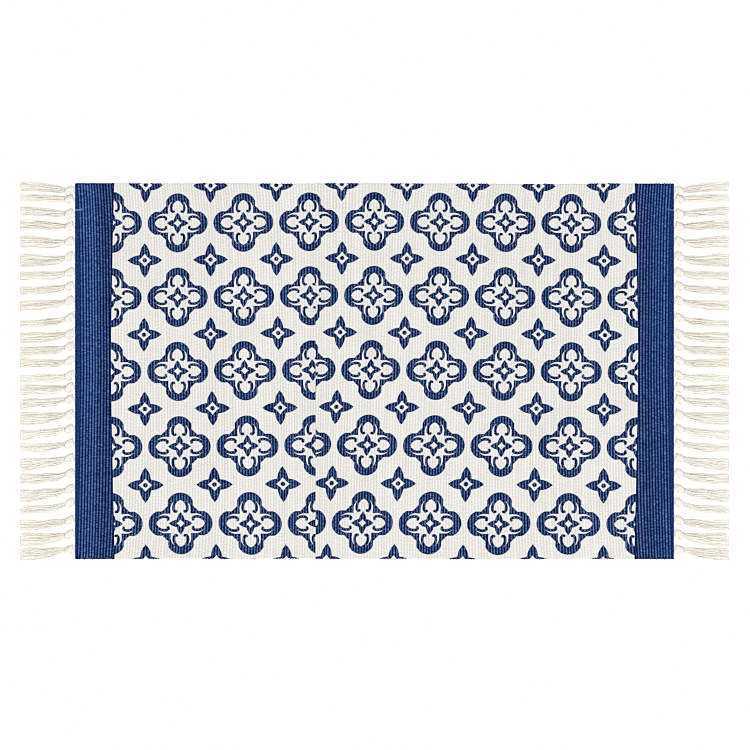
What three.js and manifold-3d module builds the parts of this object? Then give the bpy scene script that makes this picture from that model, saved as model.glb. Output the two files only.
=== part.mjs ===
// A flatweave runner rug of ribbed cotton, lying flat, with a knotted fringe at each end.
//
// Millimetres, +Z up. The rug lies on z = 0, its middle is at the origin, its length runs along X
// and its width along Y. Three pieces: the cloth, and a fringe at each end. Each fringe is one comb:
// a thin row of yarn along the cloth's end, and 26 tassels, each with a neck, a knot and a skirt of
// loose yarn that is cut off square.

import * as THREE from "three";
import { mergeVertices } from "three/addons/utils/BufferGeometryUtils.js";
import Module from "manifold-3d";

// ---- driving dimensions ----
const CLOTH_LENGTH = 957; // from end to end of the woven cloth
const CLOTH_WIDTH = 600; // from selvedge to selvedge
const CLOTH_THICKNESS = 4; // over the ribs
const END_STRIP_WIDTH = 9; // the dense strip without ribs at each end
const END_STRIP_THICKNESS = 3;
const BAND_WIDTH = 61; // the navy band at each end, end strip included
const SELVEDGE_ROUNDING = 0.35; // how far the cloth's rounded edge reaches in, in thicknesses

const GAP = 0.3; // between the cloth's end and the fringe
const ROW_WIDTH = 2.2; // the row of yarn that leaves the cloth's end
const ROW_THICKNESS = 2.4;
const FRINGE_LENGTH = 87.5; // from the cloth's end to the cut tips
const TASSELS = 26; // per end, one for each equal lane of the cloth's width
const LANE = CLOTH_WIDTH / TASSELS;
const ROOT_SHIFT = 2.5; // a neck leaves the cloth this far above the middle of its lane
const LEAST_GAP = 1.2; // between neighbouring tassels

const COTTON_WHITE = 0xebebe8;
const YARN_WHITE = 0xf1eee6;

// ---- the cloth's outline: a row for each section across the rug ----
// at: distance from the middle, as a share of half the length; the rows are used to both sides.
// left, right: how far the far (+Y) edge stands out past half the width at -at and at +at.
// front_left, front_right: the same for the near (-Y) edge.
const OUTLINE = [
  { at: 0.0, left: 0.1, right: 0.1, front_left: 0.1, front_right: 0.1 },
  { at: 0.14, left: 0.4, right: 0.0, front_left: 0.2, front_right: -0.2 },
  { at: 0.28, left: -0.5, right: -0.1, front_left: -0.6, front_right: 0.5 },
  { at: 0.44, left: 0.4, right: -0.9, front_left: 0.4, front_right: 0.3 },
  { at: 0.6, left: 0.0, right: -0.9, front_left: -0.5, front_right: 0.2 },
  { at: 0.76, left: 0.1, right: 0.1, front_left: 0.0, front_right: -0.3 },
  { at: 0.87, left: 0.3, right: -0.3, front_left: 0.2, front_right: 0.2 },
];

// ---- a tassel's own shape, from the cloth's end outwards: a row for each section ----
// out: distance from the cloth's end. wide, high: the section's size.
// knot, tip: how far the middle has gone over from the root's place to the knot's, and on to the tip's.
// loose: how much of the tassel's own spread the width has taken on. over: the same for its step aside.
const SECTIONS = [
  { out: 1.3, wide: 15.0, high: 2.4, knot: 0.0, tip: 0.0, loose: 0.0, over: 1.15 },
  { out: 4.0, wide: 13.0, high: 6.2, knot: 0.45, tip: 0.0, loose: 0.0, over: 1.1 },
  { out: 8.0, wide: 14.6, high: 9.0, knot: 0.9, tip: 0.0, loose: 0.0, over: 1.0 },
  { out: 12.5, wide: 13.4, high: 8.0, knot: 1.0, tip: 0.03, loose: 0.0, over: 0.82 },
  { out: 16.0, wide: 9.8, high: 5.4, knot: 1.0, tip: 0.08, loose: 0.0, over: 0.62 },
  { out: 25.0, wide: 13.6, high: 6.4, knot: 1.0, tip: 0.25, loose: 0.3, over: 0.22 },
  { out: 46.0, wide: 15.6, high: 5.2, knot: 1.0, tip: 0.6, loose: 0.6, over: 0.1 },
  { out: 68.0, wide: 17.0, high: 4.2, knot: 1.0, tip: 0.85, loose: 0.85, over: 0.1 },
  { out: FRINGE_LENGTH, wide: 18.0, high: 3.2, knot: 1.0, tip: 1.0, loose: 1.0, over: 0.1 },
];

// ---- where each tassel lies: a row for each, from the far (+Y) edge to the near one ----
// knot: how far the knot's middle lies from the middle of its lane. tip: the same for the tip.
// spread: the tip's width, as a share of the width in SECTIONS. aside: how much further towards the
// far edge the neck and the knot lie.
const PLACES = [
  { knot: 0.2, tip: 8.1, spread: 0.86, aside: 0.9 },
  { knot: 8.0, tip: 11.6, spread: 0.78, aside: 2.6 },
  { knot: 8.2, tip: 13.3, spread: 0.9, aside: 2.8 },
  { knot: 10.5, tip: 14.8, spread: 0.99, aside: 3.2 },
  { knot: 6.4, tip: 11.2, spread: 1.22, aside: 6.8 },
  { knot: 3.6, tip: 3.1, spread: 1.3, aside: 8.0 },
  { knot: 3.6, tip: 1.8, spread: 0.86, aside: 5.8 },
  { knot: 5.5, tip: 1.4, spread: 0.84, aside: 5.0 },
  { knot: 5.0, tip: 0.3, spread: 0.92, aside: 5.0 },
  { knot: 0.1, tip: -5.7, spread: 0.66, aside: 5.8 },
  { knot: -1.7, tip: -5.4, spread: 1.06, aside: 4.4 },
  { knot: 0.2, tip: -4.3, spread: 1.04, aside: 6.0 },
  { knot: -0.4, tip: 0.2, spread: 0.9, aside: 6.6 },
  { knot: -0.3, tip: 0.4, spread: 0.76, aside: 6.4 },
  { knot: 5.7, tip: 4.2, spread: 1.1, aside: 4.2 },
  { knot: 10.2, tip: 3.8, spread: 1.1, aside: 4.2 },
  { knot: 9.3, tip: 4.6, spread: 1.28, aside: 4.4 },
  { knot: 8.4, tip: 1.6, spread: 0.86, aside: 5.0 },
  { knot: 7.6, tip: 3.4, spread: 0.8, aside: 5.0 },
  { knot: 7.5, tip: 0.4, spread: 1.16, aside: 5.6 },
  { knot: 5.0, tip: -0.4, spread: 1.0, aside: 6.0 },
  { knot: 2.4, tip: -3.4, spread: 1.3, aside: 6.8 },
  { knot: 1.9, tip: -3.8, spread: 0.82, aside: 8.0 },
  { knot: 0.0, tip: -3.6, spread: 0.96, aside: 5.2 },
  { knot: 0.9, tip: -5.1, spread: 1.22, aside: 4.8 },
  { knot: 2.0, tip: -5.4, spread: 1.16, aside: 2.0 },
];

// ---- shapes ----

// A closed solid through rings of points. All rings have the same number of points, each ring is
// convex, and seen from the last ring towards the first its points run anticlockwise.
function loft(rings) {
  const around = rings[0].length;
  const position = new Float32Array(rings.length * around * 3);
  rings.flat().forEach((p, i) => p.toArray(position, i * 3));
  const index = [];
  for (let r = 0; r + 1 < rings.length; r++)
    for (let i = 0; i < around; i++) {
      const j = (i + 1) % around;
      const [a, b] = [r * around + i, r * around + j];
      const [c, d] = [a + around, b + around];
      index.push(a, b, d, a, d, c);
    }
  const last = (rings.length - 1) * around;
  for (let i = 1; i + 1 < around; i++) {
    index.push(0, i + 1, i);
    index.push(last, last + i, last + i + 1);
  }
  return new THREE.BufferGeometry()
    .setAttribute("position", new THREE.BufferAttribute(position, 3))
    .setIndex(index);
}

// A section of the cloth at x, flat below and above, with rounded edges.
function clothSection(x, near, far, thickness) {
  const r = SELVEDGE_ROUNDING * thickness;
  return [
    [near + r, 0],
    [far - r, 0],
    [far - 0.2 * r, 0.25 * thickness],
    [far, 0.5 * thickness],
    [far - 0.2 * r, 0.75 * thickness],
    [far - r, thickness],
    [near + r, thickness],
    [near + 0.2 * r, 0.75 * thickness],
    [near, 0.5 * thickness],
    [near + 0.2 * r, 0.25 * thickness],
  ].map(([y, z]) => new THREE.Vector3(x, y, z));
}

// How far an edge stands out at a place along the rug, between the outline's rows.
function edgeAt(place, column) {
  const s = Math.min(Math.abs(place), OUTLINE.at(-1).at);
  const i = Math.max(1, OUTLINE.findIndex((row) => row.at >= s));
  const [a, b] = [OUTLINE[i - 1], OUTLINE[i]];
  return THREE.MathUtils.lerp(a[column], b[column], (s - a.at) / (b.at - a.at));
}

function clothGeometry() {
  const half = CLOTH_LENGTH / 2;
  const strip = half - END_STRIP_WIDTH;
  // x and thickness of each section, from the left end to the right one
  const side = [
    { x: half, thickness: 0.7 * END_STRIP_THICKNESS },
    { x: half - 0.8, thickness: END_STRIP_THICKNESS },
    { x: strip + 0.6, thickness: END_STRIP_THICKNESS },
    { x: strip - 1.4, thickness: CLOTH_THICKNESS },
    { x: half - BAND_WIDTH, thickness: CLOTH_THICKNESS },
    ...OUTLINE.slice(1, -1).map((row) => ({ x: row.at * half, thickness: CLOTH_THICKNESS })).reverse(),
  ];
  const stations = [
    ...side.map(({ x, thickness }) => ({ x: -x, thickness })),
    { x: 0, thickness: CLOTH_THICKNESS },
    ...side.toReversed(),
  ];
  return loft(
    stations.map(({ x, thickness }) => {
      const side = x < 0 ? "left" : "right";
      const far = CLOTH_WIDTH / 2 + edgeAt(x / half, side);
      const near = -CLOTH_WIDTH / 2 - edgeAt(x / half, "front_" + side);
      return clothSection(x, near, far, thickness);
    }),
  );
}

// A tassel's section: flat below, rounded above.
function tasselSection(x, y, wide, high) {
  return [
    [-0.4, 0],
    [0.4, 0],
    [0.5, 0.32],
    [0.32, 0.82],
    [0, 1],
    [-0.32, 0.82],
    [-0.5, 0.32],
  ].map(([across, up]) => new THREE.Vector3(x, y + across * wide, up * high));
}

// The middles of the tassels' sections: MIDDLES[tassel][section]
const MIDDLES = PLACES.map((place, k) => {
  const lane = CLOTH_WIDTH / 2 - (k + 0.5) * LANE;
  const root = lane + ROOT_SHIFT * (k > 1 ? 1 : 0.2);
  const knot = lane + place.knot;
  const tip = lane + place.tip;
  return SECTIONS.map((s) => root + (knot - root) * s.knot + (tip - knot) * s.tip + place.aside * s.over);
});

// A tassel's width at a section, never so wide that it meets its neighbours.
function widthAt(k, s) {
  const { wide, loose } = SECTIONS[s];
  const wanted = wide * (1 + (PLACES[k].spread - 1) * loose);
  const room = [k - 1, k + 1]
    .filter((n) => n in MIDDLES)
    .map((n) => Math.abs(MIDDLES[n][s] - MIDDLES[k][s]) - LEAST_GAP);
  return Math.min(wanted, ...room);
}

// One tassel of the right-hand fringe.
function tasselGeometry(k) {
  return loft(
    SECTIONS.map(({ out, high }, s) =>
      tasselSection(CLOTH_LENGTH / 2 + out, MIDDLES[k][s], widthAt(k, s), high),
    ),
  );
}

// ---- joining ----
const wasm = await Module();
wasm.setup();

function solidOf(geometry) {
  const bare = geometry.clone();
  bare.deleteAttribute("normal");
  bare.deleteAttribute("uv");
  const merged = mergeVertices(bare, 1e-4);
  return new wasm.Manifold(
    new wasm.Mesh({
      numProp: 3,
      vertProperties: new Float32Array(merged.attributes.position.array),
      triVerts: new Uint32Array(merged.index.array),
    }),
  );
}

function geometryOf(solid) {
  const { vertProperties, triVerts } = solid.getMesh();
  return new THREE.BufferGeometry()
    .setAttribute("position", new THREE.BufferAttribute(vertProperties, 3))
    .setIndex(new THREE.BufferAttribute(triVerts, 1));
}

// The comb on the right: the row of yarn along the cloth's end, with every tassel joined to it.
function fringeGeometry() {
  const row = new THREE.BoxGeometry(ROW_WIDTH, CLOTH_WIDTH - 2, ROW_THICKNESS).translate(
    CLOTH_LENGTH / 2 + GAP + ROW_WIDTH / 2,
    0,
    ROW_THICKNESS / 2,
  );
  return geometryOf(
    PLACES.reduce((comb, _, k) => comb.add(solidOf(tasselGeometry(k))), solidOf(row)),
  );
}

// ---- the object ----
const cotton = new THREE.MeshStandardMaterial({ color: COTTON_WHITE, roughness: 0.92, metalness: 0 });
const yarnLeft = new THREE.MeshStandardMaterial({ color: YARN_WHITE, roughness: 0.88, metalness: 0 });
const yarnRight = yarnLeft.clone();

const rug = new THREE.Mesh(clothGeometry(), cotton);
rug.name = "rug";

const comb = fringeGeometry();
const fringeRight = new THREE.Mesh(comb, yarnRight);
fringeRight.name = "fringe_right";

// The left fringe is the right one mirrored across the rug's middle.
const fringeLeft = new THREE.Mesh(comb.clone(), yarnLeft);
fringeLeft.scale.x = -1;
fringeLeft.name = "fringe_left";

const fringes = new THREE.Group();
fringes.add(fringeLeft, fringeRight);

const group = new THREE.Group();
group.add(rug, fringes);

export default group;
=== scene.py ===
import math

import bpy
import numpy as np
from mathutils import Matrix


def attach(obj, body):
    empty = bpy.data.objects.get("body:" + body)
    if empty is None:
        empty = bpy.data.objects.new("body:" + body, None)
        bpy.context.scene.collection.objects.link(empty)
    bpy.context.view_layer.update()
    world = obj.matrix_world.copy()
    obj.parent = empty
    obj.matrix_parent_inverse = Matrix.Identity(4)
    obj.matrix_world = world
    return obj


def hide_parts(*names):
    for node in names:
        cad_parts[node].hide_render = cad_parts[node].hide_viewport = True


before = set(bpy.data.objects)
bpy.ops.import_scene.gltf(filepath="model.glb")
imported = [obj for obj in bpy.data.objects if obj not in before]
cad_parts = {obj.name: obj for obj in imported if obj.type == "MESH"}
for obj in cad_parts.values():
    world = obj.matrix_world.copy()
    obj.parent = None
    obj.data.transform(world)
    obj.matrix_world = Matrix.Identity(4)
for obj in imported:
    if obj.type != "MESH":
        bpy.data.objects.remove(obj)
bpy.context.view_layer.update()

MM = 0.001

# ---- the rug's sizes, as in the frame ----
CLOTH_LENGTH = 957.0
CLOTH_WIDTH = 600.0
CLOTH_THICKNESS = 4.0
END_STRIP_WIDTH = 9.0
CLOSING = 0.18  # how far the woven end reaches into the 0.3 mm between the solids
END_STRIP_THICKNESS = 3.0
FRINGE_LENGTH = 87.5
TASSELS = 26
LANE = CLOTH_WIDTH / TASSELS
ROOT_SHIFT = 2.5
LEAST_GAP = 1.2

HALF = CLOTH_LENGTH / 2
RIB_ZONE = HALF - END_STRIP_WIDTH

# how far each long edge stands out past half the width
OUTLINE = [
    # at,  left, right, front_left, front_right
    (0.00, 0.1, 0.1, 0.1, 0.1),
    (0.14, 0.4, 0.0, 0.2, -0.2),
    (0.28, -0.5, -0.1, -0.6, 0.5),
    (0.44, 0.4, -0.9, 0.4, 0.3),
    (0.60, 0.0, -0.9, -0.5, 0.2),
    (0.76, 0.1, 0.1, 0.0, -0.3),
    (0.87, 0.3, -0.3, 0.2, 0.2),
]

# a tassel from the cloth's end outwards
SECTIONS = [
    # out, wide, high, knot, tip, loose, over
    (1.3, 15.0, 2.4, 0.0, 0.0, 0.0, 1.15),
    (4.0, 13.0, 6.2, 0.45, 0.0, 0.0, 1.1),
    (8.0, 14.6, 9.0, 0.9, 0.0, 0.0, 1.0),
    (12.5, 13.4, 8.0, 1.0, 0.03, 0.0, 0.82),
    (16.0, 9.8, 5.4, 1.0, 0.08, 0.0, 0.62),
    (25.0, 13.6, 6.4, 1.0, 0.25, 0.3, 0.22),
    (46.0, 15.6, 5.2, 1.0, 0.6, 0.6, 0.1),
    (68.0, 17.0, 4.2, 1.0, 0.85, 0.85, 0.1),
    (87.5, 18.0, 3.2, 1.0, 1.0, 1.0, 0.1),
]

# where each tassel lies, from the far (+Y) edge to the near one
PLACES = [
    # knot, tip, spread, aside
    (0.2, 8.1, 0.86, 0.9),
    (8.0, 11.6, 0.78, 2.6),
    (8.2, 13.3, 0.9, 2.8),
    (10.5, 14.8, 0.99, 3.2),
    (6.4, 11.2, 1.22, 6.8),
    (3.6, 3.1, 1.3, 8.0),
    (3.6, 1.8, 0.86, 5.8),
    (5.5, 1.4, 0.84, 5.0),
    (5.0, 0.3, 0.92, 5.0),
    (0.1, -5.7, 0.66, 5.8),
    (-1.7, -5.4, 1.06, 4.4),
    (0.2, -4.3, 1.04, 6.0),
    (-0.4, 0.2, 0.9, 6.6),
    (-0.3, 0.4, 0.76, 6.4),
    (5.7, 4.2, 1.1, 4.2),
    (10.2, 3.8, 1.1, 4.2),
    (9.3, 4.6, 1.28, 4.4),
    (8.4, 1.6, 0.86, 5.0),
    (7.6, 3.4, 0.8, 5.0),
    (7.5, 0.4, 1.16, 5.6),
    (5.0, -0.4, 1.0, 6.0),
    (2.4, -3.4, 1.3, 6.8),
    (1.9, -3.8, 0.82, 8.0),
    (0.0, -3.6, 0.96, 5.2),
    (0.9, -5.1, 1.22, 4.8),
    (2.0, -5.4, 1.16, 2.0),
]

# ---- the ribs ----
RIBS_PER_SIDE = 104
RIB_COLUMNS = 6
RIB_DEPTH = 1.25  # of the grooves on the upper side
RIB_DEPTH_BELOW = 0.6
TOP_ROWS = 56
BOTTOM_ROWS = 10
BEAD = 5.6  # between two warp crossings of one rib

# How the ribs lean: how far a rib is pushed towards +X. fan and edge act towards the far edge, the
# second close to it only, and lean and flare towards the near edge. Rows are for places along X; the
# left end is the mirror image, and the two run into each other round JOIN.
LEAN = [
    # x, fan, edge, lean, flare
    (-81, 7.0, 1.4, -10.5, 0.0),
    (-4, 8.0, 3.2, -7.7, 0.0),
    (73, 7.0, 5.4, -7.0, 0.0),
    (149, 6.7, 5.6, -6.6, 2.2),
    (226, 6.7, 4.0, -3.5, 3.2),
    (303, 4.5, 4.8, -1.9, 6.7),
    (380, 2.6, 4.8, -1.0, 8.0),
    (456, 2.2, 3.4, 3.2, 2.7),
]
JOIN = -93.5  # where the mirrored left part of the print meets the right one
JOIN_BLEND = 112.0


def smooth(t):
    t = np.clip(t, 0, 1)
    return t * t * (3 - 2 * t)


def lean(x, y):
    """How far the rib at x is pushed along X at y."""
    t = y / 296.0
    up, down = np.clip(t, 0, None), np.clip(-t, 0, 1.1)
    rows = np.array(LEAN)

    def part(x):
        fan, edge, slope, flare = (np.interp(x, rows[:, 0], rows[:, i]) for i in (1, 2, 3, 4))
        return fan * up + edge * up**6 + slope * np.sin(down * math.pi / 2) + flare * down**4

    share = smooth((x - JOIN + JOIN_BLEND) / (2 * JOIN_BLEND))
    return share * part(x) - (1 - share) * part(-x)


def edge_at(x, column):
    rows = np.array(OUTLINE)
    return np.interp(np.abs(x) / HALF, rows[:, 0], rows[:, column])


# ---- making meshes ----


def mesh_object(name, points, faces, smooth_faces=True):
    """faces is a list of arrays, one for each number of corners."""
    mesh = bpy.data.meshes.new(name)
    corners = [np.asarray(f, np.int32) for f in faces if len(f)]
    loops = np.concatenate([f.ravel() for f in corners])
    sizes = np.concatenate([np.full(len(f), f.shape[1], np.int32) for f in corners])
    mesh.vertices.add(len(points))
    mesh.vertices.foreach_set("co", (np.asarray(points, float) * MM).astype(np.float32).ravel())
    mesh.loops.add(len(loops))
    mesh.loops.foreach_set("vertex_index", loops)
    mesh.polygons.add(len(sizes))
    mesh.polygons.foreach_set("loop_start", np.concatenate([[0], np.cumsum(sizes)[:-1]]).astype(np.int32))
    mesh.polygons.foreach_set("loop_total", sizes)
    mesh.polygons.foreach_set("use_smooth", np.full(len(sizes), smooth_faces))
    mesh.update(calc_edges=True)
    mesh.validate()
    ob = bpy.data.objects.new(name, mesh)
    bpy.context.scene.collection.objects.link(ob)
    return ob


def set_attribute(mesh, name, values):
    a = mesh.attributes.new(name, "FLOAT_VECTOR", "POINT")
    a.data.foreach_set("vector", np.asarray(values, np.float32).ravel())


def set_map(mesh, uv):
    layer = mesh.uv_layers.new(name="OFBake")
    layer.data.foreach_set("uv", np.asarray(uv, np.float32).ravel())


# ---- the cloth ----


def rib_lines():
    """The x of each groove from the middle to the end of the ribbed part, before the ribs lean."""
    rng = np.random.default_rng(7)
    width = 1 + 0.045 * rng.standard_normal(RIBS_PER_SIDE).clip(-1.6, 1.6)
    i = np.arange(RIBS_PER_SIDE)
    width *= 1 + 0.02 * np.sin(i * 0.23 + 0.6) + 0.015 * np.sin(i * 0.51 + 2.0)
    width[-11:] *= 1.055
    return np.concatenate([[0], np.cumsum(width)]) * RIB_ZONE / width.sum()


def cloth_columns():
    """x, rib coordinate, top, underside, how far the long edge stands out, share of the end strip; left to right."""
    rng = np.random.default_rng(11)
    lines = rib_lines()
    side = []
    for i in range(RIBS_PER_SIDE):
        wide = lines[i + 1] - lines[i]
        tall = 0.1 * rng.standard_normal()
        out = 0.22 * rng.standard_normal()
        for c in range(RIB_COLUMNS):
            f = c / RIB_COLUMNS
            round_ = abs(math.sin(math.pi * f)) ** 0.8
            side.append((
                lines[i] + f * wide,
                i + f,
                CLOTH_THICKNESS - 0.05 - RIB_DEPTH * (1 - round_) + min(tall, 0.05) * round_,
                RIB_DEPTH_BELOW * (1 - round_),
                -1.0 + (1.15 + out) * round_,
                0.0,
            ))
    for f, top, below in ((0.0, 2.55, 0.5), (0.14, 2.9, 0.35), (0.35, 3.0, 0.3), (0.62, 2.9, 0.3), (0.88, 2.8, 0.35), (1.0, 2.2, 0.7)):
        side.append((RIB_ZONE + f * (END_STRIP_WIDTH + CLOSING), RIBS_PER_SIDE + 1.5 * f, top, below, -0.8 if f in (0, 1) else -0.2, f))
    right = np.array(side)
    left = right[:0:-1] * [-1, -1, 1, 1, 1, 1]
    return np.vstack([left, right])


def cloth_object():
    rng = np.random.default_rng(3)
    col = cloth_columns()
    x, rib, top, below, stand, strip = col.T
    n = len(x)
    # rows round the cloth's section: y as a share and an inset, height as a share, and the side it is on
    inset = np.array([0.85, 2.2, 6.0, 13.0])
    inner = np.linspace(-1, 1, TOP_ROWS - 2 * len(inset))
    ring = [("edge", -1, a, 1.0 - 0.10 * (a < 1)) for a in inset]
    ring += [("in", s, 22.0, 1.0) for s in inner]
    ring += [("edge", 1, a, 1.0 - 0.02 * (a < 1)) for a in inset[::-1]]
    ring += [("edge", 1, 0.2, 0.86), ("edge", 1, 0.0, 0.5), ("edge", 1, 0.2, 0.22)]
    for s in np.linspace(1, -1, BOTTOM_ROWS):
        ring.append(("in", s, 0.85, 0.0))
    ring += [("edge", -1, 0.2, 0.22), ("edge", -1, 0.0, 0.5), ("edge", -1, 0.2, 0.78)]
    m = len(ring)
    far = CLOTH_WIDTH / 2 + np.where(x < 0, edge_at(x, 1), edge_at(x, 2)) + np.maximum(stand, -0.35) + 0.8
    near = CLOTH_WIDTH / 2 + np.where(x < 0, edge_at(x, 3), edge_at(x, 4)) + stand + 0.3
    P = np.zeros((n, m, 3))
    weave = np.zeros((n, m, 3))
    strips = np.zeros((n, m, 3))
    which = np.floor(rib)
    wander = rng.uniform(-0.5, 0.5, 4 * RIBS_PER_SIDE)[(which + 2 * RIBS_PER_SIDE).astype(int)]
    swell = rng.uniform(0, 2 * math.pi, (4 * RIBS_PER_SIDE, 2))[(which + 2 * RIBS_PER_SIDE).astype(int)]
    for j, (kind, s, a, h) in enumerate(ring):
        y = s * ((far - a * (0.5 if kind == "edge" and a < 1 else 1.0)) if s > 0 else near - a)
        pull = lean(x, y)
        keep = np.where(strip > 0, 1 - strip, 1.0)
        edge_x = np.sign(x) * RIB_ZONE
        pull = np.where(strip > 0, lean(edge_x, y) * keep, pull)
        P[:, j, 0] = x + pull
        P[:, j, 1] = y
        # the ribs swell and sink a little along their length
        lift = 0.09 * np.sin(y / 23.0 + swell[:, 0]) + 0.06 * np.sin(y / 9.1 + swell[:, 1])
        lift = np.where(strip > 0, 0, lift) * (rib % 1 > 0)
        t = np.minimum(top + lift, CLOTH_THICKNESS)
        P[:, j, 2] = below + (t - below) * h
        weave[:, j, 0] = rib
        weave[:, j, 1] = y / BEAD + 0.10 * np.sin(y / 31.0 + swell[:, 1])
        weave[:, j, 2] = h
        strips[:, j, 0] = strip
        strips[:, j, 1] = wander
    # the cloth's own ends are straight
    P[0, :, 0], P[-1, :, 0] = -HALF - CLOSING, HALF + CLOSING
    k = np.arange(n - 1)[:, None] * m
    a = np.arange(m)[None, :]
    b = (a + 1) % m
    quads = np.stack([k + a, k + m + a, k + m + b, k + b], -1).reshape(-1, 4)
    ends = [np.arange(m)[None, :], ((n - 1) * m + np.arange(m)[::-1])[None, :]]
    ob = mesh_object("rug_cloth", P.reshape(-1, 3), [quads, *ends])
    set_attribute(ob.data, "weave", weave.reshape(-1, 3))
    set_attribute(ob.data, "strip", strips.reshape(-1, 3))
    # the map: the upper side over most of the image, the underside below it
    top_rows = TOP_ROWS + 4  # with the selvedges' upper halves
    run = np.zeros(m + 1)
    Y = np.array([s * (300 - a) for _, s, a, _ in ring])
    v = np.zeros((m, 2))  # for the start and the end of each quad's span
    for j in range(m):
        p, q = Y[j], Y[(j + 1) % m]
        middle = (ring[j][3] + ring[(j + 1) % m][3]) / 2
        for e, value in enumerate((p, q)):
            share = (value + 301) / 602
            v[j, e] = 0.215 + 0.78 * share if middle > 0.5 else 0.005 + 0.19 * share
    u = 0.004 + 0.992 * (x + HALF) / CLOTH_LENGTH
    uv = np.zeros((n - 1, m, 4, 2))
    uv[..., 0, 0] = uv[..., 3, 0] = u[:-1, None]
    uv[..., 1, 0] = uv[..., 2, 0] = u[1:, None]
    uv[..., 0, 1] = uv[..., 1, 1] = v[None, :, 0]
    uv[..., 2, 1] = uv[..., 3, 1] = v[None, :, 1]
    cap = np.stack([0.004 + 0.992 * (Y + 301) / 602, 0.1995 + 0.006 * np.array([r[3] for r in ring])], -1)
    set_map(ob.data, np.vstack([uv.reshape(-1, 2), cap, cap[::-1]]))
    return ob


# ---- yarn ----


def tubes(lines, radii, sides, around="z", closed=False):
    """Tubes round lines of points, all at once. lines: (tube, point, 3). radii: (tube, point)."""
    count, n, _ = lines.shape
    if closed:
        tangent = np.roll(lines, -1, 1) - np.roll(lines, 1, 1)
    else:
        tangent = np.gradient(lines, axis=1)
    tangent /= np.linalg.norm(tangent, axis=-1, keepdims=True)
    up = np.zeros_like(tangent)
    up[..., {"x": 0, "z": 2}[around]] = 1
    side = np.cross(tangent, up)
    side /= np.linalg.norm(side, axis=-1, keepdims=True)
    up = np.cross(side, tangent)
    angle = np.arange(sides) / sides * 2 * math.pi
    ring = side[:, :, None] * np.cos(angle)[None, None, :, None] + up[:, :, None] * np.sin(angle)[None, None, :, None]
    P = lines[:, :, None] + ring * radii[:, :, None, None]
    base = (np.arange(count) * n * sides)[:, None, None]
    i = np.arange(n if closed else n - 1)[None, :, None]
    j = (i + 1) % n
    a = np.arange(sides)[None, None, :]
    b = (a + 1) % sides
    quads = np.stack([base + i * sides + a, base + i * sides + b, base + j * sides + b, base + j * sides + a], -1).reshape(-1, 4)
    caps = np.zeros((0, sides), int)
    if not closed:
        r = np.arange(sides)[None, :]
        first = base[:, 0] + r[:, ::-1]
        last = base[:, 0] + (n - 1) * sides + r
        caps = np.vstack([first, last])
    turn = np.broadcast_to(angle / (2 * math.pi), (count, n, sides))
    return P, quads, caps, turn


def tube_map(count, n, sides, columns, low, high, closed=False):
    """A strip of the image for each tube: u along it, v round it."""
    rows = math.ceil(count / columns)
    t = np.arange(count)
    u0 = (t % columns) / columns
    v0 = low + (high - low) * (t // columns) / rows
    du, dv = 0.96 / columns, (high - low) / rows
    steps = n if closed else n - 1
    i = np.arange(steps)
    ulo, uhi = i / steps, (i + 1) / steps
    a = np.arange(sides)
    uv = np.zeros((count, steps, sides, 4, 2))
    U0 = u0[:, None, None] + 0.02 / columns
    V0 = v0[:, None, None]
    uv[..., 0, 0] = uv[..., 1, 0] = U0 + du * ulo[None, :, None]
    uv[..., 2, 0] = uv[..., 3, 0] = U0 + du * uhi[None, :, None]
    uv[..., 0, 1] = uv[..., 3, 1] = V0 + dv * (a / sides)[None, None, :]
    uv[..., 1, 1] = uv[..., 2, 1] = V0 + dv * ((a + 1) / sides)[None, None, :]
    parts = [uv.reshape(-1, 2)]
    if not closed:
        for u in (0.02 / columns, 0.98 / columns):
            cap = np.zeros((count, sides, 2))
            cap[..., 0] = u0[:, None] + u
            cap[..., 1] = v0[:, None] + dv * (a / sides)[None, :]
            parts.append(cap.reshape(-1, 2))
    return parts


S = np.array(SECTIONS)


def middles(k):
    knot, tip, _, aside = PLACES[k]
    lane = CLOTH_WIDTH / 2 - (k + 0.5) * LANE
    root = lane + ROOT_SHIFT * (1 if k > 1 else 0.2)
    return root + (lane + knot - root) * S[:, 3] + (tip - knot) * S[:, 4] + aside * S[:, 6]


MIDDLES = [middles(k) for k in range(TASSELS)]


def widths(k):
    wanted = S[:, 1] * (1 + (PLACES[k][2] - 1) * S[:, 5])
    for n in (k - 1, k + 1):
        if 0 <= n < TASSELS:
            wanted = np.minimum(wanted, np.abs(MIDDLES[n] - MIDDLES[k]) - LEAST_GAP)
    return wanted


def curve_through(x, xs, ys):
    """A smooth curve through a short table."""
    slope = np.gradient(ys, xs)
    i = np.clip(np.searchsorted(xs, x, side="right") - 1, 0, len(xs) - 2)
    h = xs[i + 1] - xs[i]
    t = np.clip((x - xs[i]) / h, 0, 1)
    a, b = ys[i], ys[i + 1]
    return (
        (2 * t**3 - 3 * t**2 + 1) * a + (t**3 - 2 * t**2 + t) * h * slope[i]
        + (-2 * t**3 + 3 * t**2) * b + (t**3 - t**2) * h * slope[i + 1]
    )


YARN_RADIUS = 0.82
YARN_POINTS = 20
YARN_SIDES = 6
KNOT_AT = 8.8  # the knot's middle, out from the cloth's end


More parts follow.
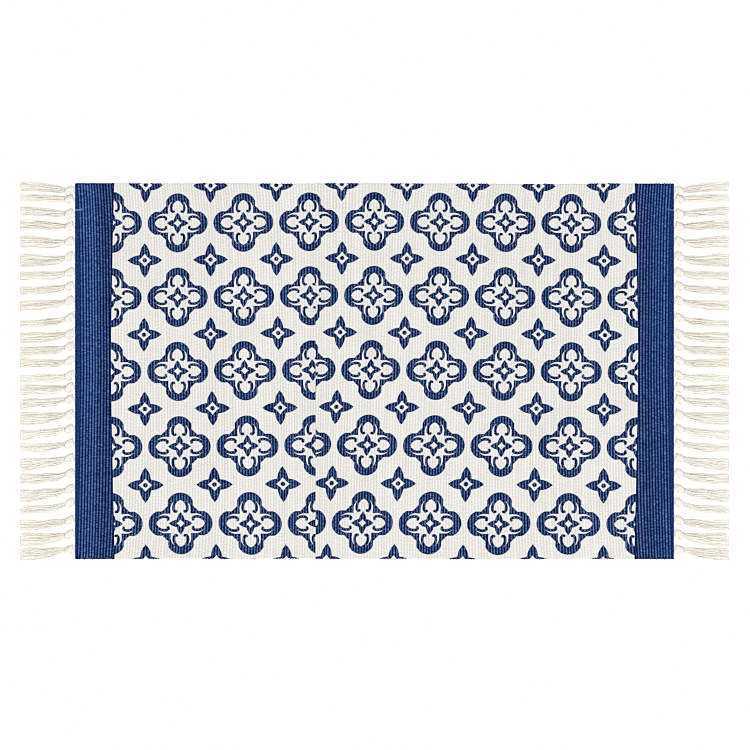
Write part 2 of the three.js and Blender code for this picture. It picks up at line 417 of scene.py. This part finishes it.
def skirt_lines():
    """The loose yarns of all tassels of the right-hand fringe."""
    rng = np.random.default_rng(23)
    lines, radii, tint = [], [], []
    s = np.linspace(0, 1, YARN_POINTS)
    for k in range(TASSELS):
        wide, mid = widths(k), MIDDLES[k]
        sway = rng.uniform(0, 2 * math.pi, 2)
        # three or four strands side by side, each of a few yarns that keep together
        cuts = [-2.0, rng.uniform(-0.6, -0.35), rng.uniform(-0.1, 0.15), rng.uniform(0.4, 0.65), 2.0]
        if rng.uniform() < 0.35:
            del cuts[rng.integers(1, 4)]
        phases = rng.uniform(0, 2 * math.pi, (len(cuts), 3))
        sways = rng.uniform(-0.10, 0.10, len(cuts))
        rise = rng.uniform(0.0, 0.5, len(cuts))
        yarns = [(v, level) for level, n, far in ((0, 10, 0.98), (1, 8, 0.84), (2, 5, 0.52)) for v in np.linspace(-far, far, n)]
        for v, level in yarns:
            v = v + rng.uniform(-0.05, 0.05)
            g = int(np.searchsorted(cuts, v)) - 1
            inside = [u for u, _ in yarns if cuts[g] < u <= cuts[g + 1]] or [v]
            centre = (min(inside) + max(inside)) / 2
            v = centre + (v - centre) * 0.92
            end = FRINGE_LENGTH + 1.7 - abs(rng.normal(0, 0.5))
            out = 10.5 + (end - 3.2 - 10.5) * (s / s[-4]) ** 0.92
            out[-3:] = end - 1.6, end - 0.5, end
            W = curve_through(out, S[:, 0], wide)
            H = curve_through(out, S[:, 0], S[:, 2])
            M = curve_through(out, S[:, 0], mid)
            loose = np.clip((out - 15) / 35, 0, 1)
            t = np.clip((out - 15) / (FRINGE_LENGTH - 15), 0, 1)
            slim = 0.60 + 0.40 * smooth((out - 13) / 16)
            M = M + 0.6 * loose * np.sin(out / 14.0 + sway[0]) + 0.3 * loose * np.sin(out / 7.0 + sway[1])
            drift = rng.normal(0, 0.28) if level else rng.normal(0, 0.05)
            place = v + sways[g] * t + drift * t
            place = place.clip(-1.02, 1.02)
            y = M + place * (W / 2 - 0.8)
            y = y + loose * (0.50 * np.sin(out / 8.8 + phases[g, 0]) + 0.30 * np.sin(out / 5.2 + phases[g, 1]))
            y = y + loose * (0.2 + 0.15 * level) * np.sin(out / rng.uniform(4.5, 9.0) + rng.uniform(0, 6.3))
            r = YARN_RADIUS * rng.uniform(0.86, 1.08) * slim
            r[-3:] *= 0.86, 0.6, 0.28
            bed = r + 0.15 + 0.3 * rise[g] * (1 - t)
            top = np.maximum(0.72 * H - r - 0.15, bed + 0.3)
            crown = np.sqrt(np.clip(1 - 0.7 * place**2, 0.05, 1))
            z = bed + (top - bed) * crown * level / 2
            z = z + loose * 0.18 * np.sin(out / 7.3 + phases[g, 2])
            z[-3:] -= np.array([0.15, 0.45, 0.8]) * (z[-3:] - r[-3:]) * 0.5
            z = np.maximum(z, r + 0.05)
            # out of the middle of the knot
            start = smooth((16.5 - out) / 6)
            z = z + (3.4 + 0.9 * (level - 1) - z) * start
            lines.append(np.stack([HALF + out, y, z], -1))
            radii.append(r)
            tint.append((rng.uniform(), level))
        # a thin thread or two that has come away from the rest
        for _ in range(2):
            v = rng.uniform(-1.15, 1.15)
            end = FRINGE_LENGTH - rng.uniform(0.5, 6)
            out = 12 + (end - 12) * s
            W, M = curve_through(out, S[:, 0], wide), curve_through(out, S[:, 0], mid)
            H = curve_through(out, S[:, 0], S[:, 2])
            loose = np.clip((out - 15) / 20, 0, 1)
            place = (v + rng.normal(0, 0.3) * (out - 12) / 75).clip(-1.12, 1.12)
            y = M + place * (W / 2 - 0.6) + loose * (0.7 * np.sin(out / 6.0 + rng.uniform(0, 6.3)) + 0.3 * np.sin(out / 2.7))
            z = 0.6 + (H - 0.2) * np.sqrt(np.clip(1 - 0.85 * place**2, 0, 1)) * smooth((out - 12) / 6)
            r = np.full(YARN_POINTS, 0.30) * np.where(s > 0.985, 0.5, 1.0)
            lines.append(np.stack([HALF + out, y, np.maximum(z, 0.4)], -1))
            radii.append(r)
            tint.append((rng.uniform(), 1))
    return np.array(lines), np.array(radii), np.array(tint)


def knot_lines():
    """The wound yarns of each knot: closed loops on an egg-shaped lump."""
    rng = np.random.default_rng(31)
    loops, radii, tint = [], [], []
    n = 24
    th = np.arange(n) / n * 2 * math.pi
    for k in range(TASSELS):
        at = curve_through(np.array([KNOT_AT]), S[:, 0], MIDDLES[k])[0]
        room = widths(k)[2] / 14.6
        big = rng.uniform(0.94, 1.06) * room
        slant = -rng.uniform(2.2, 4.2)
        shift = rng.uniform(-0.5, 0.5)
        for c in range(6):
            a = (c - 2.5) * 1.72 + rng.uniform(-0.2, 0.2)
            lump = math.sqrt(max(0.2, 1 - (a / 6.6) ** 2))
            ry = (6.9 - 0.2 * a) * big * lump * rng.uniform(0.96, 1.05)
            # the first turn lies lower, where the yarn comes out of the cloth
            rz = (2.1 if c == 0 else 3.0) * lump * rng.uniform(0.95, 1.04)
            ph = rng.uniform(0, 2 * math.pi)
            r = 1.34 + 0.08 * np.sin(2 * th + ph)
            y = at - 0.5 + ry * np.cos(th) + 0.25 * np.sin(3 * th + ph)
            z = (3.8 if c == 0 else 4.25) + rz * np.sin(th)
            x = HALF + KNOT_AT + shift + a + slant * np.cos(th) * lump + 0.5 * np.sin(th)
            x = np.maximum(x, HALF + 4.5)
            z = np.maximum(z, 1.47)
            loops.append(np.stack([x, y, z], -1))
            radii.append(r)
            tint.append((rng.uniform(), 4.0))
    return np.array(loops), np.array(radii), np.array(tint)


NECK_YARNS = 8


def neck_lines():
    """The yarn ends between the cloth and the knots."""
    rng = np.random.default_rng(41)
    lines, radii, tint = [], [], []
    for k in range(TASSELS):
        wide = widths(k)[0]
        root = MIDDLES[k][0]
        at = curve_through(np.array([KNOT_AT]), S[:, 0], MIDDLES[k])[0]
        for i in range(NECK_YARNS):
            v = (i + 0.5) / NECK_YARNS * 2 - 1
            s = np.array([-1.6, -0.4, 0.6, 1.6, 2.8, 4.2, 6.0, 8.0, 10.0])
            t = smooth((s - 0.2) / 6.0)
            y0 = root + v * wide / 2 + rng.uniform(-0.25, 0.25)
            y1 = at + v * 4.6
            y = y0 + (y1 - y0) * t + rng.uniform(-0.15, 0.15, len(s)) * (s > 0)
            crown = math.sqrt(max(0, 1 - v * v))
            z = 1.5 + (1.7 + 3.2 * crown * rng.uniform(0.7, 1.0)) * smooth((s - 0.2) / 4.2)
            y[:2] = y0
            z[:2] = 1.35
            lines.append(np.stack([HALF + s, y, z], -1))
            radii.append(0.8 + 0.3 * smooth(s / 3) + rng.uniform(-0.05, 0.05, len(s)))
            tint.append((rng.uniform(), 0.3))
        # the strands inside the knot
        room = widths(k)[2] / 14.6
        for v in (-1, 0, 1):
            s = np.linspace(KNOT_AT - 4.6, KNOT_AT + 5.0, 9)
            thick = (2.5 if v == 0 else 2.05) * np.array([0.45, 0.8, 0.95, 1.0, 1.0, 1.0, 0.95, 0.8, 0.45])
            y = at + v * 2.7 * room * np.array([0.7, 0.9, 1.0, 1.0, 1.0, 1.0, 1.0, 0.9, 0.7])
            lines.append(np.stack([HALF + s - v * 1.2, y, np.full(9, 4.0)], -1))
            radii.append(thick * room)
            tint.append((rng.uniform(), 0.3))
    return np.array(lines), np.array(radii), np.array(tint)


def yarn_object(name, groups, mirrored):
    """groups: (lines, radii, tint, sides, closed, way) each."""
    P, quads, caps, uv, yarn, deep = [], [], {}, [], [], []
    start = 0
    cap_uv = {}
    low = 0.0
    total = sum(len(g[0]) for g in groups)
    for lines, radii, tint, sides, closed, way in groups:
        count, n, _ = lines.shape
        points, q, c, turn = tubes(lines, radii, sides, way, closed)
        length = np.concatenate(
            [np.zeros((count, 1)), np.cumsum(np.linalg.norm(np.diff(lines, axis=1), axis=-1), 1)], 1
        )
        P.append(points.reshape(-1, 3))
        quads.append(q + start)
        if len(c):
            caps.setdefault(sides, []).append(c + start)
        y = np.zeros((count, n, sides, 3))
        y[..., 0] = length[..., None]
        y[..., 1] = tint[:, 0][:, None, None]
        y[..., 2] = turn
        yarn.append(y.reshape(-1, 3))
        # each point's height, which the yarn material turns into painted shade low in the bundle, and each yarn's
        # level
        d = np.zeros((count, n, sides, 3))
        d[..., 0] = points[..., 2]
        d[..., 1] = tint[:, 1][:, None, None]
        deep.append(d.reshape(-1, 3))
        high = low + count / total
        columns = 4
        parts = tube_map(count, n, sides, columns, low, high, closed)
        low = high
        uv.append(parts[0])
        if len(parts) > 1:
            cap_uv.setdefault(sides, []).extend(parts[1:])
        start += count * n * sides
    P = np.vstack(P)
    faces = [np.vstack(quads)] + [np.vstack(caps[s]) for s in sorted(caps)]
    if mirrored:
        P[:, 0] *= -1
        faces = [f[:, ::-1] for f in faces]
    ob = mesh_object(name, P, faces)
    # the corners' order follows the faces', mirrored or not
    maps = [np.vstack(uv)] + [np.vstack(cap_uv[s]) for s in sorted(cap_uv)]
    sizes = [4] + sorted(cap_uv)
    if mirrored:
        maps = [m.reshape(-1, s, 2)[:, ::-1].reshape(-1, 2) for m, s in zip(maps, sizes)]
    set_attribute(ob.data, "yarn", np.vstack(yarn))
    set_attribute(ob.data, "deep", np.vstack(deep))
    set_map(ob.data, np.vstack(maps))
    return ob


# ---- node arithmetic ----


class Wire:
    """A number that differs over the surface, in a material's node tree."""

    def __init__(self, tree, socket):
        self.tree, self.socket = tree, socket

    def _op(self, kind, *others, first=None):
        node = self.tree.nodes.new("ShaderNodeMath")
        node.operation = kind
        for slot, value in zip(node.inputs, [self if first is None else first, *others]):
            if isinstance(value, Wire):
                self.tree.links.new(value.socket, slot)
            else:
                slot.default_value = float(value)
        return Wire(self.tree, node.outputs[0])

    def __add__(self, o): return self if isinstance(o, (int, float)) and o == 0 else self._op("ADD", o)
    __radd__ = __add__
    def __sub__(self, o): return self._op("SUBTRACT", o)
    def __rsub__(self, o): return self._op("SUBTRACT", self, first=o)
    def __mul__(self, o): return self if isinstance(o, (int, float)) and o == 1 else self._op("MULTIPLY", o)
    __rmul__ = __mul__
    def __truediv__(self, o): return self._op("DIVIDE", o) if isinstance(o, Wire) else self * (1 / o)
    def __neg__(self): return self * -1.0


def least(a, b): return a._op("MINIMUM", b)
def most(a, b): return a._op("MAXIMUM", b)
def size(a): return a._op("ABSOLUTE")
def whole(a): return a._op("FLOOR")
def part(a): return a._op("FRACT")
def above(a, b): return a._op("GREATER_THAN", b)
def power(a, b): return a._op("POWER", b)
def cosine(a): return a._op("COSINE")
def sine(a): return a._op("SINE")
def distance(a, b): return (a * a + b * b)._op("SQRT")


def limit(a):
    out = a._op("ADD", 0.0)
    out.socket.node.use_clamp = True
    return out


def step(a, low, high):
    """0 below low, 1 above high, smooth between."""
    t = limit((a - low) / (high - low))
    return t * t * (3 - 2 * t)


def choose(switch, yes, no):
    """yes where switch is 1, no where it is 0."""
    return no + switch * (yes - no)


def srgb(r, g, b, gain=1.0):
    return tuple(gain * (c / 12.92 if c <= 0.04045 else ((c + 0.055) / 1.055) ** 2.4) for c in (r / 255, g / 255, b / 255)) + (1.0,)


class Tree:
    def __init__(self, name):
        self.material = bpy.data.materials.new(name)
        self.material.use_nodes = True
        self.t = self.material.node_tree
        self.t.nodes.clear()
        out = self.t.nodes.new("ShaderNodeOutputMaterial")
        self.shader = self.t.nodes.new("ShaderNodeBsdfPrincipled")
        self.t.links.new(self.shader.outputs[0], out.inputs["Surface"])

    def attribute(self, name):
        node = self.t.nodes.new("ShaderNodeAttribute")
        node.attribute_type = "GEOMETRY"
        node.attribute_name = name
        return self.split(node.outputs["Vector"])

    def split(self, socket):
        node = self.t.nodes.new("ShaderNodeSeparateXYZ")
        self.t.links.new(socket, node.inputs[0])
        return [Wire(self.t, o) for o in node.outputs]

    def place(self):
        node = self.t.nodes.new("ShaderNodeTexCoord")
        return [w * 1000.0 for w in self.split(node.outputs["Object"])]

    def join(self, x, y, z=0.0):
        node = self.t.nodes.new("ShaderNodeCombineXYZ")
        for slot, value in zip(node.inputs, (x, y, z)):
            if isinstance(value, Wire):
                self.t.links.new(value.socket, slot)
            else:
                slot.default_value = value
        return node.outputs[0]

    def noise(self, x, y, z=0.0, detail=2.0, rough=0.5, scale=1.0):
        node = self.t.nodes.new("ShaderNodeTexNoise")
        node.noise_dimensions = "3D"
        node.inputs["Scale"].default_value = scale
        node.inputs["Detail"].default_value = detail
        node.inputs["Roughness"].default_value = rough
        self.t.links.new(self.join(x, y, z), node.inputs["Vector"])
        return Wire(self.t, node.outputs[0])

    def chance(self, x):
        """A random number for each whole number."""
        node = self.t.nodes.new("ShaderNodeTexWhiteNoise")
        node.noise_dimensions = "1D"
        self.t.links.new(x.socket, node.inputs["W"])
        return Wire(self.t, node.outputs["Value"])

    def ramp(self, x, stops):
        node = self.t.nodes.new("ShaderNodeValToRGB")
        ramp = node.color_ramp
        while len(ramp.elements) < len(stops):
            ramp.elements.new(0.5)
        for e, (at, colour) in zip(ramp.elements, stops):
            e.position, e.color = at, colour
        self.t.links.new(x.socket, node.inputs[0])
        return node.outputs[0]

    def mix(self, share, a, b, kind="MIX"):
        node = self.t.nodes.new("ShaderNodeMix")
        node.data_type = "RGBA"
        node.blend_type = kind
        node.clamp_factor = True
        for slot, value in ((node.inputs[0], share), (node.inputs[6], a), (node.inputs[7], b)):
            if isinstance(value, Wire):
                self.t.links.new(value.socket, slot)
            elif isinstance(value, (tuple, float, int)):
                slot.default_value = value
            else:
                self.t.links.new(value, slot)
        return node.outputs[2]

    def finish(self, colour, height, rough, strength, specular=0.2, sheen=0.0):
        s = self.shader
        self.t.links.new(colour, s.inputs["Base Color"])
        s.inputs["Roughness"].default_value = rough
        s.inputs["Specular IOR Level"].default_value = specular
        if sheen:
            s.inputs["Sheen Weight"].default_value = sheen
            s.inputs["Sheen Roughness"].default_value = 0.5
        bump = self.t.nodes.new("ShaderNodeBump")
        bump.inputs["Strength"].default_value = strength
        bump.inputs["Distance"].default_value = MM
        self.t.links.new(height.socket, bump.inputs["Height"])
        self.t.links.new(bump.outputs[0], s.inputs["Normal"])
        return self.material


# ---- the print ----
# Motifs are drawn with distances to simple shapes, in units of UNIT millimetres, and are the same
# along both axes and both diagonals: a runs along an arm from the motif's middle, b across it.
UNIT = 1.598
COLUMN = 65.72  # between two quatrefoils of a row
FIRST_COLUMN = 38.0
PRINT_END = 675.1 - 374.5  # from the rug's middle to where the columns are counted from
DRIFT = 13.1  # how far the columns have shifted at the near edge


def to_segment(a, b, p, q):
    (pa, pb), (qa, qb) = p, q
    da, db = qa - pa, qb - pb
    square = da * da + db * db
    t = limit((a * da + b * db - (pa * da + pb * db)) / square)
    return distance(a - pa - t * da, b - pb - t * db)


def arms(x, y):
    x, y = size(x), size(y)
    return most(x, y), least(x, y)


def quatrefoil(x, y):
    """Below 0 in the ink: a ring of four lobes, a pair of curved strokes in each lobe, and a star."""
    a, b = arms(x, y)
    lobe = most(distance(a - 17.2, b) - 12.5, b - 11.5)
    outer = least(lobe, (a + b - 28.6) * 0.7071)
    inner = choose(above(a, 13.85), distance(a - 13.85, b) - 9.85, b - 9.75)
    ring = most(outer, -inner)
    bow = distance(a - 15.5, b + 2.4)
    stroke = most(size(bow - 8.95) - 1.12, 12.6 - a)
    hook = least(to_segment(a, b, (13.0, 6.35), (11.5, 5.1)), to_segment(a, b, (11.5, 5.1), (11.75, 3.9))) - 1.05
    tip = most(most(most(7.85 - bow, b - 5.0), 22.2 - a), lobe)
    star = most(distance(a - 1.6, b + 9.0) - 12.6, (4.1 - a - b * 1.25) * 0.7)
    return least(least(least(ring, stroke), least(hook, tip)), star)


def small_star(x, y):
    """Below 0 in the ink: four leaves round a bare diamond with a dot in it."""
    a, b = arms(x, y)
    leaf = least(distance(a - 4.7, b + 12.39) - 17.3, a - 5.4)
    return least(most(leaf, (6.8 - a - b * 1.2) * 0.72), most(distance(a, b) - 1.95, -0.6))


def hump(value, middle, reach):
    return step(value, middle - reach, middle) - step(value, middle, middle + reach)


def print_distance(x, y):
    """x and y in units from the rug's middle, y towards the far edge. Gives the distance to the ink, in
    units, and the distance from the end of the rug that the columns are counted from."""
    right = above(x, JOIN / UNIT - 0.4)
    s = choose(right, PRINT_END - x, PRINT_END + x)
    tau = most((s - 59.1) / 250, 0.0)
    S_ = tau * (1.243 - 0.314 * tau)
    down = -y + 370.75
    A = power(most((down - 239.7) / 279.3, 0.0), 1.471) * DRIFT
    # the cloth gave a little under the print: its columns and rows stray by up to 2 mm
    stray = hump(down, 350, 85) * (1.0 - step(s, 176, 196) * 1.4 + step(s, 290, 330) * 0.7)
    stray = stray + step(s, 275, 335) * (0.4 + 0.55 * step(down, 200, 260))
    row = 0.75 - step(s, 130, 180) * 0.25 - step(s, 180, 250) * 0.15 - hump(s, 202, 35) * 0.3
    sag = hump(down, 428, 55) * 0.3 - hump(down, 308, 72) * row
    sag = sag - step(down, 485, 525) * step(s, 140, 165) * 1.25
    sag = sag + (1.0 - step(down, 212, 246)) * step(size(x), 222, 246) * 1.2
    u = (s + stray - A * S_ - FIRST_COLUMN) / COLUMN
    # the rows sit a trace askew
    T = (down + sag + S_ * 2.6 - 1.384 + 0.2 - x * 0.00121 + (down - 370.0) * 0.00152 - 370.1) / 185
    v = 4.998 + T * 4.924 - T * T * 0.083
    # close to the far edge the print runs a little further out, most in the corners
    rim = power(most((224.0 - down) / 38.8, 0.0), 2.0)
    corner = step(size(x), 175, 229)
    v = v + rim * (0.02 + corner * 0.035)
    u = u - rim * corner * 0.015
    foil = quatrefoil((u - whole(u + 0.5)) * 65.5, (v - whole(v / 2) * 2 - 1.0) * 37.5)
    star = small_star((u - whole(u) - 0.5) * 65.5, (v - whole(v / 2 + 0.5) * 2) * 37.5)
    return least(foil, star)


GAIN = 0.86  # from the colour that shows to the cloth's own, under this light
YARN_GAIN = 0.875


def cotton_material():
    m = Tree("printed_cotton")
    x, y, z = m.place()
    rib, bead, height = m.attribute("weave")
    strip, wander, _ = m.attribute("strip")
    which = whole(rib)
    luck = m.chance(which)
    phase = part(rib)
    crest = 0.5 - 0.5 * cosine(phase * (2 * math.pi))
    # warp crossings: a small dip across each rib, in every other rib half a step along
    odd = part(which * 0.5)
    along = part(bead + odd + wander * 0.7 + (m.noise(which * 2.3, y * 0.05, 0.0, 1.0) - 0.5) * 1.6)
    dip = step(size(along - 0.5) * 2, 0.70, 1.0)
    # yarn: fine oblique plies along each rib, and fibres
    cloud = m.noise(x * 0.012, y * 0.012, 0.0, 2.0)
    fleck = m.noise(which * 3.7, y * 0.21, 0.0, 2.0, 0.6)
    fibre = m.noise(x * 1.1, y * 0.7, z * 0.5, 3.0, 0.6)
    ply = sine(y * 2.6 + phase * 7.0 + luck * 40)

    # the print's edge follows the ribs: the ink spreads on the crests and stops short in the grooves
    raw = print_distance(x / UNIT, y / UNIT)
    edge_noise = m.noise(x * 0.45, y * 0.45, 0.0, 2.0, 0.6)
    # and it lies a trace heavier towards the near edge
    d = raw - 0.25 + y * 0.00023 + (0.5 - crest) * 0.3 + (edge_noise - 0.5) * 0.5
    ink = limit(0.5 - d / 0.6)
    side = size(x)
    # the end bands: their inner edge bows towards the end at the middle of the width
    bow = power(limit(size(y - 20.0) / 300), 1.4)
    band_at = HALF - 57.4 - 5.6 * bow
    band = limit((side - band_at) / 1.1 + 0.5 + (edge_noise - 0.5) * 0.7)

    # the ink is heaviest along the outlines
    outline = step(d, -1.3, -0.1)
    grain = m.noise(which * 5.3, y * 0.62, 0.0, 1.0, 0.5)
    speck = fleck * 0.5 + grain * 0.5 - 0.5
    # painted shade: the crest and dip terms make the rib grooves and the warp-crossing dips darker and the crests
    # lighter; in the ink the grooves are also truly darker, where the ink lies deeper
    tone_with_painted_shade = limit(crest * 0.68 + speck * 1.6 + (fibre - 0.5) * 0.6 + (luck - 0.5) * 0.16 - dip * 0.2 + 0.09)
    dark = limit(tone_with_painted_shade - outline * 0.12)
    # one star's arm took more ink
    dark = limit(dark - step(distance(x + 169.5, y + 58.5), 8.5, 5.0) * 0.3)
    dye = m.noise(x * 0.11, y * 0.11, 0.0, 2.0, 0.6)
    reddish, greenish = (m.ramp(t, [
        (0.0, srgb(8 + e, 31 - e, 74, GAIN)), (0.25, srgb(22 + e, 46 - e, 93, GAIN)), (0.6, srgb(60 + e, 83 - e, 129, GAIN)), (1.0, srgb(108 + e, 129 - e, 175, GAIN)),
    ]) for t, e in ((dark, 5), (dark, -6)))
    blue = m.mix(step(dye, 0.35, 0.65), greenish, reddish)
    blue = m.mix(outline, blue, (1.0, 1.0, 0.86, 1.0), "MULTIPLY")
    blue = m.mix(step(d, -2.5, -0.9), blue, (1.4, 1.12, 1.0, 1.0), "MULTIPLY")
    shade = m.noise(which * 4.1, y * 0.10, 0.0, 2.0, 0.7)
    deep_tone = tone_with_painted_shade - step(side - band_at, 3.4, 1.4) * 0.35
    violet, teal = (m.ramp(deep_tone, [
        (0.0, srgb(6 + e, 29 - e, 72 + 2 * e, GAIN)), (0.25, srgb(22 + e, 43 - e, 90 + 2 * e, GAIN)), (0.6, srgb(57 + e, 78 - e, 126 + 2 * e, GAIN)), (1.0, srgb(100 + e, 121 - e, 169 + 2 * e, GAIN)),
    ]) for e in (3, -3))
    royal = m.ramp(deep_tone, [
        (0.0, srgb(6, 37, 90, GAIN)), (0.25, srgb(22, 53, 109, GAIN)), (0.6, srgb(60, 88, 144, GAIN)), (1.0, srgb(103, 131, 186, GAIN)),
    ])
    outer = step(side, HALF - 44.0, HALF - 28.0) * (0.35 + 0.5 * step(y, -130, 30))
    band_blue = m.mix(outer, m.mix(step(shade, 0.3, 0.7), teal, violet), royal)
    tinge = m.noise(x * 0.16, y * 0.16, 0.0, 2.0, 0.6)
    # painted shade: the white is darker in the rib grooves and at the warp-crossing dips, and lighter on the crests
    white_tone_with_painted_shade = limit(crest * 0.42 + speck * 0.6 + (fibre - 0.5) * 0.5 + (luck - 0.5) * 0.2 + (cloud - 0.5) * 0.3 - dip * 0.2 + 0.355)
    warm, cool = (m.ramp(white_tone_with_painted_shade, [
        (0.0, srgb(213 + e, 210, 204 - e, GAIN)), (0.5, srgb(234 + e, 232, 227 - e, GAIN)), (1.0, srgb(246 + e, 245, 242 - e, GAIN)),
    ]) for e in (2, -2))
    white = m.mix(step(tinge, 0.3, 0.7), cool, warm)
    # the dye has run a little way out of the ink here and there
    spill = step(d, 2.1, 0.2) * (0.07 + 0.26 * step(edge_noise, 0.45, 0.7))
    stained = m.mix(spill, white, srgb(150, 166, 198, GAIN))
    weave = m.noise(x * 0.7, y * 0.42, 0.0, 2.0, 0.6)
    stripe = sine(x * 3.9 + y * 0.2) * 0.5 + 0.5
    # a pulled thread crosses each strip near its far end
    pulled = step(size(y - 258.5 + (side - 470) * 0.12), 2.0, 1.0) * step(side, HALF - 12.2, HALF - 10.6) * choose(above(x, 0.0), 0.45, 0.85)
    worn = step(strip, 0.82, 0.95) * step(m.noise(0.0 * x, y * 0.16, 0.0, 1.0), 0.56, 0.66)
    strip_blue = m.ramp(limit(weave * 0.92 + stripe * 0.08 + worn * 0.35), [
        (0.3, srgb(7, 26, 70, GAIN)), (0.5, srgb(29, 52, 103, GAIN)), (0.7, srgb(65, 91, 144, GAIN)), (1.0, srgb(146, 172, 213, GAIN)),
    ])
    printed = m.mix(ink, stained, blue)
    woven = m.mix(pulled, m.mix(step(strip, 0.02, 0.2), band_blue, strip_blue), srgb(92, 130, 186, GAIN))
    top = m.mix(band, printed, woven)
    # the underside: the same ribs, with the print showing through faintly
    ghost = limit(0.5 - raw / 2.4) * 0.17
    below = m.mix(band, m.mix(ghost, m.mix(0.3, white, srgb(214, 212, 205, GAIN)), blue), woven)
    colour = m.mix(step(height, 0.2, 0.5), below, top)

    relief = (fibre - 0.5) * 0.16 + ply * 0.05 - dip * crest * 0.3
    return m.finish(colour, relief, 0.95, 0.9, 0.04)


def yarn_material():
    m = Tree("cotton_yarn")
    x, y, z = m.place()
    along, luck, turn = m.attribute("yarn")
    high, level, _ = m.attribute("deep")
    fibre = m.noise(x * 0.8, y * 1.6, z * 1.6, 3.0, 0.6)
    patch = m.noise(x * 0.035, y * 0.16, luck * 9.0, 2.0, 0.6)
    ply = sine(along * 2.1 + turn * (4 * math.pi))
    # painted shade: yarns low in the bundle, near the floor and under the others, are made darker and warmer (tan)
    low = 1.0 - step(high, 0.4, 3.0)
    tip = step(size(x), HALF + FRINGE_LENGTH - 5.0, HALF + FRINGE_LENGTH - 0.5)
    knot = step(level, 2.5, 3.5)
    tan = step(luck, 0.72, 0.84) * (1.0 - knot)
    tone_with_painted_shade = limit(0.66 + (luck - 0.5) * 0.3 - tan * 0.5 + (patch - 0.5) * 0.9 + (fibre - 0.5) * 0.2 + ply * 0.05 - low * 0.3 + tip * 0.25 - knot * 0.25)
    colour = m.ramp(tone_with_painted_shade, [
        (0.0, srgb(243, 231, 204, YARN_GAIN)), (0.3, srgb(249, 243, 227, YARN_GAIN)), (0.6, srgb(250, 247, 239, YARN_GAIN)), (1.0, srgb(251, 250, 248, YARN_GAIN)),
    ])
    colour = m.mix(knot * 0.45, colour, srgb(245, 242, 234, YARN_GAIN))
    # the short stretch next to the cloth is painted near-white with a faint blue tint: painted light that lifts the
    # shade between the cloth's end and the knots
    painted_light_at_root = 1.0 - step(size(x), HALF + 2.2, HALF + 4.2)
    colour = m.mix(painted_light_at_root, colour, srgb(249, 252, 255, YARN_GAIN))
    relief = ply * 0.16 + (fibre - 0.5) * 0.2
    return m.finish(colour, relief, 0.9, 0.35, 0.1)


def floor_material():
    m = Tree("pale_floor")
    x, y, z = m.place()
    grain = m.noise(x * 0.004, y * 0.004, 0.0, 2.0)
    colour = m.ramp(grain, [(0.3, (0.95, 0.95, 0.95, 1)), (0.7, (0.96, 0.96, 0.96, 1))])
    m.shader.inputs["Emission Color"].default_value = (1, 1, 1, 1)
    m.shader.inputs["Emission Strength"].default_value = 0.2
    return m.finish(colour, grain, 0.8, 0.0, 0.1)


# ---- the pieces ----
cotton, yarn = cotton_material(), yarn_material()

rug = cloth_object()
rug.data.materials.append(cotton)
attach(rug, "root")
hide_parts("rug")

skirt = (*skirt_lines(), YARN_SIDES, False, "z")
knots = (*knot_lines(), 7, True, "x")
necks = (*neck_lines(), 6, False, "z")
for end, mirrored in (("right", False), ("left", True)):
    for what, groups in (("strands", [skirt]), ("knots", [knots, necks])):
        ob = yarn_object(f"fringe_{end}_{what}", groups, mirrored)
        ob.data.materials.append(yarn)
        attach(ob, "root")
        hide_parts(f"fringe_{end}")

# ---- floor, light, camera ----
bpy.ops.mesh.primitive_plane_add(size=14, location=(0, 0, -0.0002))
floor = bpy.context.object
floor.name = "floor"
floor.data.materials.append(floor_material())

world = bpy.data.worlds.new("studio")
world.use_nodes = True
world.node_tree.nodes["Background"].inputs["Color"].default_value = (1, 1, 1, 1)
world.node_tree.nodes["Background"].inputs["Strength"].default_value = 0.54
bpy.context.scene.world = world


def area_light(name, place, size_m, watts):
    data = bpy.data.lights.new(name, "AREA")
    data.shape, data.size, data.energy = "DISK", size_m, watts
    ob = bpy.data.objects.new(name, data)
    bpy.context.scene.collection.objects.link(ob)
    ob.location = place
    direction = -ob.location.normalized()
    ob.rotation_mode = "QUATERNION"
    ob.rotation_quaternion = direction.to_track_quat("-Z", "Y")
    return ob


area_light("key", (0.4, -5.2, 4.8), 3.2, 232)
area_light("overhead", (0, 0.9, 5.2), 2.4, 107)

camera = bpy.data.cameras.new("camera")
camera.lens, camera.sensor_width = 120, 36
camera.clip_start, camera.clip_end = 0.1, 50
viewer = bpy.data.objects.new("camera", camera)
bpy.context.scene.collection.objects.link(viewer)
viewer.location = (0.0008, -0.0058, 3.999)
bpy.context.scene.camera = viewer

scene = bpy.context.scene
scene.view_settings.view_transform = "Standard"
scene.cycles.filter_width = 1.25

# the picture is sharpened a little, as a camera does
SHARPEN = 0.76
scene.use_nodes = True
tree = scene.node_tree
tree.nodes.clear()


def image_node(kind, **settings):
    node = tree.nodes.new("CompositorNode" + kind)
    for name, value in settings.items():
        setattr(node, name, value)
    return node


def link(a, b):
    tree.links.new(a, b)


layers = image_node("RLayers")
encode = image_node("Gamma")
encode.inputs[1].default_value = 1 / 2.2
link(layers.outputs[0], encode.inputs[0])
shown = image_node("MixRGB", blend_type="ADD", use_clamp=True)
shown.inputs[0].default_value = 0.0
link(encode.outputs[0], shown.inputs[1])
light = image_node("RGBToBW")
link(shown.outputs[0], light.inputs[0])
blur = image_node("Blur", filter_type="GAUSS")
blur.inputs["Size"].default_value = (3.0, 3.0)
link(light.outputs[0], blur.inputs[0])
detail = image_node("Math", operation="SUBTRACT")
link(light.outputs[0], detail.inputs[0])
link(blur.outputs[0], detail.inputs[1])
sharper = image_node("MixRGB", blend_type="ADD", use_clamp=True)
sharper.inputs[0].default_value = SHARPEN
link(shown.outputs[0], sharper.inputs[1])
link(detail.outputs[0], sharper.inputs[2])
decode = image_node("Gamma")
decode.inputs[1].default_value = 2.2
link(sharper.outputs[0], decode.inputs[0])
picture = image_node("Composite")
link(decode.outputs[0], picture.inputs[0])
